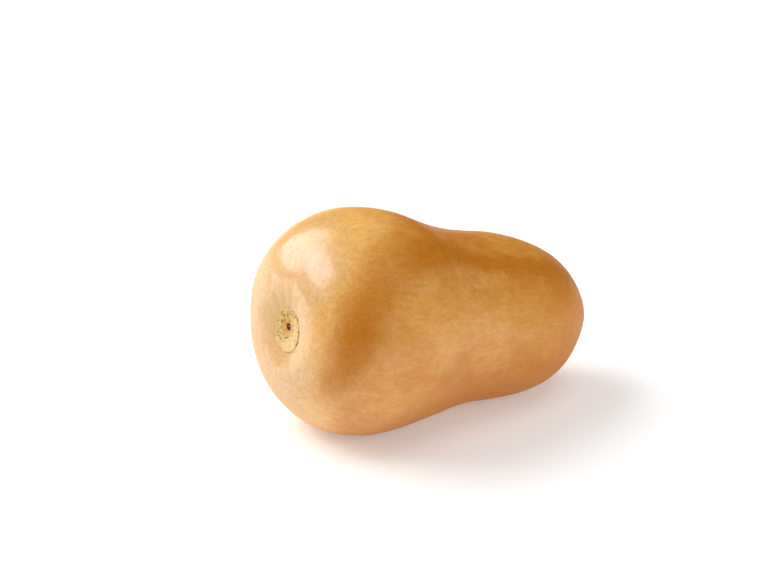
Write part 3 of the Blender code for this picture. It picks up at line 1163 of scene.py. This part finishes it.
# The wax by zone: the mask, how much wax there is without it, and how much where it is
# full.
WAX_ZONES = (("gold_and_painted_light", 0.45, 1.0), ("under_shade", 1.0, 0.3), ("furrow_shade", 1.0, 0.35))


def wax_share(tree, small):
    """How much wax there is, and less of it where the skin is seen edge on."""
    by_zone = 1.0
    for name, without, full in WAX_ZONES:
        share = between(tree, mask_from(tree, name), 0.0, 1.0, without, full)
        by_zone = product(tree, by_zone, share)
    by_zone = product(tree, between(tree, small["Height"], *WAX_RANGE), by_zone)
    off_cork = maths(tree, "SUBTRACT", 1.0, mask_from(tree, "cork"))
    facing = node(tree, "LayerWeight", {"Blend": 0.5}).outputs["Facing"]
    waxed = product(tree, off_cork, by_zone)
    return product(tree, waxed, between(tree, facing, *EDGE_ON_RANGE))


def skin_relief(tree, place, patchy, streak):
    """The normal of the skin, with bumps of up to a tenth of a millimetre."""
    pebbles = node(tree, "TexVoronoi", {
        "Vector": place, "Scale": 520.0, "Smoothness": 0.6,
    }, feature="SMOOTH_F1")
    peel = node(tree, "TexNoise", {
        "Vector": place, "Scale": 420.0, "Detail": 2.0, "Roughness": 0.55,
    })
    pebbly = between(tree, patchy["Height"], *PEBBLE_RANGE)
    relief = product(tree, pebbles.outputs["Distance"], pebbly)
    relief = maths(tree, "MULTIPLY_ADD", peel.outputs[0], PEEL_HEIGHT, relief)
    relief = maths(tree, "MULTIPLY_ADD", streak["Height"], STREAK_HEIGHT, relief)
    bump = node(tree, "Bump", {"Strength": 1.0, "Distance": MM, "Height": relief})
    return bump.outputs[0]


# %% Build the skin material


def skin_material():
    material, tree, shader = new_material("skin")
    place = node(tree, "TexCoord").outputs["Object"]
    along_grain = node(tree, "Attribute", attribute_name="grain").outputs["Vector"]
    drift = use(tree, BLOTCHES, Place=place, Size=26.0, Detail=2.0, From=0.40, To=0.62)
    patchy = use(tree, BLOTCHES, Place=along_grain, Size=11.0, Detail=3.0, From=0.44, To=0.68)
    small = use(tree, BLOTCHES, Place=place, Size=4.5, Detail=3.0, From=0.3, To=0.7)
    streak = use(tree, BLOTCHES, Place=along_grain, Size=1.6, Detail=2.0, From=0.3, To=0.7)

    colour = zone_colour(tree, drift, patchy)
    colour = mottled(tree, colour, place, small, streak)
    colour = specked(tree, colour, place, patchy)
    # Painted shade in the halo beyond the scar.
    colour = tinted(tree, colour, "halo_shade", HALO_SHADE_SHARE, HALO_SHADE_OCHRE)

    satin = between(tree, small["Height"], *SATIN_RANGE)
    dry = product(tree, mask_from(tree, "cork"), CORK_ROUGHNESS)
    feed_all(tree, shader, {
        "Base Color": scar_colour(tree, colour, place),
        "Roughness": maths(tree, "MAXIMUM", satin, dry),
        "Coat Weight": wax_share(tree, small),
        "Coat Roughness": 0.20,
        "Coat IOR": 1.65,
        "Specular IOR Level": 0.18,
        "Normal": skin_relief(tree, place, patchy, streak),
    })
    return material


fruit.data.materials.append(skin_material())
print("nodes in the skin:", len(fruit.data.materials[0].node_tree.nodes))

# %% [markdown]
# ## The stem's finish
#
# Dry stem is wood with the bark worn thin: cream on the ribs, ochre in the creases and
# near the fruit, and brown and stringy where it broke. It hardly shines.

# %% Build the stem material
STEM_CREAM = (0.70, 0.52, 0.28, 1.0)
STEM_OCHRE = (0.44, 0.21, 0.04, 1.0)
STEM_BROWN = (0.13, 0.062, 0.018, 1.0)
STEM_STRAW = (0.50, 0.28, 0.09, 1.0)
STEM_PATCH_SHARE = 0.5
STEM_SPECK_SHARE = 0.5
CREASE_RANGE = (0.1, 0.7)
LOW_RANGE = (0.30, 0.72, 0.9, 0.0)
THREAD_RANGE = (0.4, 0.62)
LIP_RANGE = (0.05, 0.22)
STEM_ROUGH_RANGE = (*NOISE_RANGE, 0.62, 0.85)


def stem_material():
    material, tree, shader = new_material("stem_wood")
    place = node(tree, "TexCoord").outputs["Object"]
    patches = use(tree, BLOTCHES, Place=place, Size=5.0, Detail=3.0, From=0.40, To=0.62)
    worn = product(tree, patches["Mask"], STEM_PATCH_SHARE)
    colour = mixed(tree, worn, STEM_CREAM, STEM_OCHRE)
    creased = between(tree, mask_from(tree, "crease"), *CREASE_RANGE)
    colour = mixed(tree, creased, colour, STEM_OCHRE)
    low = between(tree, mask_from(tree, "stem_height"), *LOW_RANGE)
    colour = mixed(tree, low, colour, STEM_OCHRE)

    threads = node(tree, "Mapping", {"Vector": place, "Scale": (240.0, 240.0, 1100.0)})
    fibre = node(tree, "TexNoise", {
        "Vector": threads.outputs[0], "Scale": 1.0, "Detail": 4.0, "Distortion": 0.7,
    })
    stringy = mixed(tree, between(tree, fibre.outputs[0], *THREAD_RANGE), STEM_BROWN, STEM_STRAW)
    at_break = mask_from(tree, "broken")
    colour = mixed(tree, at_break, colour, stringy)
    lip = product(tree, at_break, maths(tree, "SUBTRACT", 1.0, at_break))
    colour = mixed(tree, between(tree, lip, *LIP_RANGE), colour, STEM_BROWN)
    specks = use(tree, SPECKS, Place=place, Spacing=2.4, Size=0.6, Share=0.3)
    dirty = product(tree, specks["Mask"], STEM_SPECK_SHARE)
    colour = mixed(tree, dirty, colour, STEM_BROWN)
    bump = node(tree, "Bump", {
        "Strength": 0.6, "Distance": 0.0003, "Height": fibre.outputs[0],
    })
    feed_all(tree, shader, {
        "Base Color": colour,
        "Roughness": between(tree, patches["Height"], *STEM_ROUGH_RANGE),
        "Normal": bump.outputs[0],
    })
    return material


stem.data.materials.append(stem_material())
print("nodes in the stem:", len(stem.data.materials[0].node_tree.nodes))

# %% [markdown]
# ## Floor and light
#
# The squash lies on a plain white table, which throws a good deal of light back up
# under the belly.
#
# A big window stands behind it on the left and models the bulb. What the gloss mirrors
# of a window is its panes, so two panes that only the gloss shows lie in about the same
# direction, and the window itself lights only the body colour. A strip above the window
# lights the top, and dimmer lights from the other sides and from above fill the shadows.
# The gloss shows none of these.

# %% Make the floor
FLOOR_SIZE = 8.0
FLOOR_WHITE = (0.80, 0.80, 0.80, 1.0)

bpy.ops.mesh.primitive_plane_add(size=FLOOR_SIZE)
floor = bpy.context.object
floor.name = "floor"
floor_material, floor_tree, floor_shader = new_material("floor")
feed_all(floor_tree, floor_shader, {"Base Color": FLOOR_WHITE, "Roughness": 0.9})
floor.data.materials.append(floor_material)

# %% Set the lights
LIGHT_AIM = Vector((0.0, 0.0, 0.06))
LIGHT_DISTANCE = 1.6
LAMP_WHITE = (1.0, 1.0, 1.0)
WINDOW_WARM = (1.0, 0.94, 0.91)
PANE_ROSE = (1.0, 0.85, 0.97)

# Each light: its name, azimuth, elevation, width and height in metres, radiance,
# colour, and whether it is one that only the gloss shows. The rest light only the body
# colour. All stand the same distance away.
SOFT_LIGHTS = (
    ("window", -147.0, 28.5, 1.75, 1.25, 3.35, WINDOW_WARM, False),
    ("left_pane", -156.5, 27.5, 0.935, 1.20, 3.3, PANE_ROSE, True),
    ("right_pane", -124.2, 38.3, 0.63, 0.79, 4.4, PANE_ROSE, True),
    ("high", -145.0, 54.0, 2.0, 0.6, 4.2, LAMP_WHITE, False),
    ("front", -35.0, 32.0, 0.9, 0.7, 0.6, LAMP_WHITE, False),
    ("fill", 15.0, 27.0, 1.2, 0.65, 2.02, LAMP_WHITE, False),
    ("low_fill", 30.0, 6.0, 2.4, 0.3, 2.1, LAMP_WHITE, False),
    ("top", 25.0, 72.0, 1.2, 1.0, 1.28, LAMP_WHITE, False),
    ("back", 135.0, 22.0, 1.5, 0.8, 0.5, LAMP_WHITE, False),
)
ROOM_WHITE = (1.0, 1.0, 1.0, 1.0)
ROOM_STRENGTH = 0.3
TABLE_GLOW = 0.25


def soft_light(name, azimuth, elevation, width, height, radiance, colour, gloss_only):
    """A rectangular softbox that faces the squash."""
    data = bpy.data.lights.new(name, "AREA")
    data.shape = "RECTANGLE"
    data.size, data.size_y = width, height
    data.energy = math.pi * width * height * radiance
    data.color = colour
    lamp = bpy.data.objects.new(name, data)
    bpy.context.scene.collection.objects.link(lamp)
    away = direction(azimuth, elevation)
    lamp.location = LIGHT_AIM + LIGHT_DISTANCE * away
    lamp.rotation_euler = (-away).to_track_quat("-Z", "Y").to_euler()
    lamp.visible_glossy = gloss_only
    lamp.visible_diffuse = not gloss_only


for settings in SOFT_LIGHTS:
    soft_light(*settings)
print("lights:", [settings[0] for settings in SOFT_LIGHTS])

# %% [markdown]
# The room and the table glow faintly, so that the shadows stay light. The standard view
# transform keeps the white of the table white.

# %% Light the room
room = bpy.data.worlds.new("room")
room.use_nodes = True
background = room.node_tree.nodes["Background"]
feed_all(room.node_tree, background, {"Color": ROOM_WHITE, "Strength": ROOM_STRENGTH})
bpy.context.scene.world = room
room.cycles_visibility.glossy = False
glow = {"Emission Color": ROOM_WHITE, "Emission Strength": TABLE_GLOW}
feed_all(floor_tree, floor_shader, glow)
bpy.context.scene.view_settings.view_transform = "Standard"
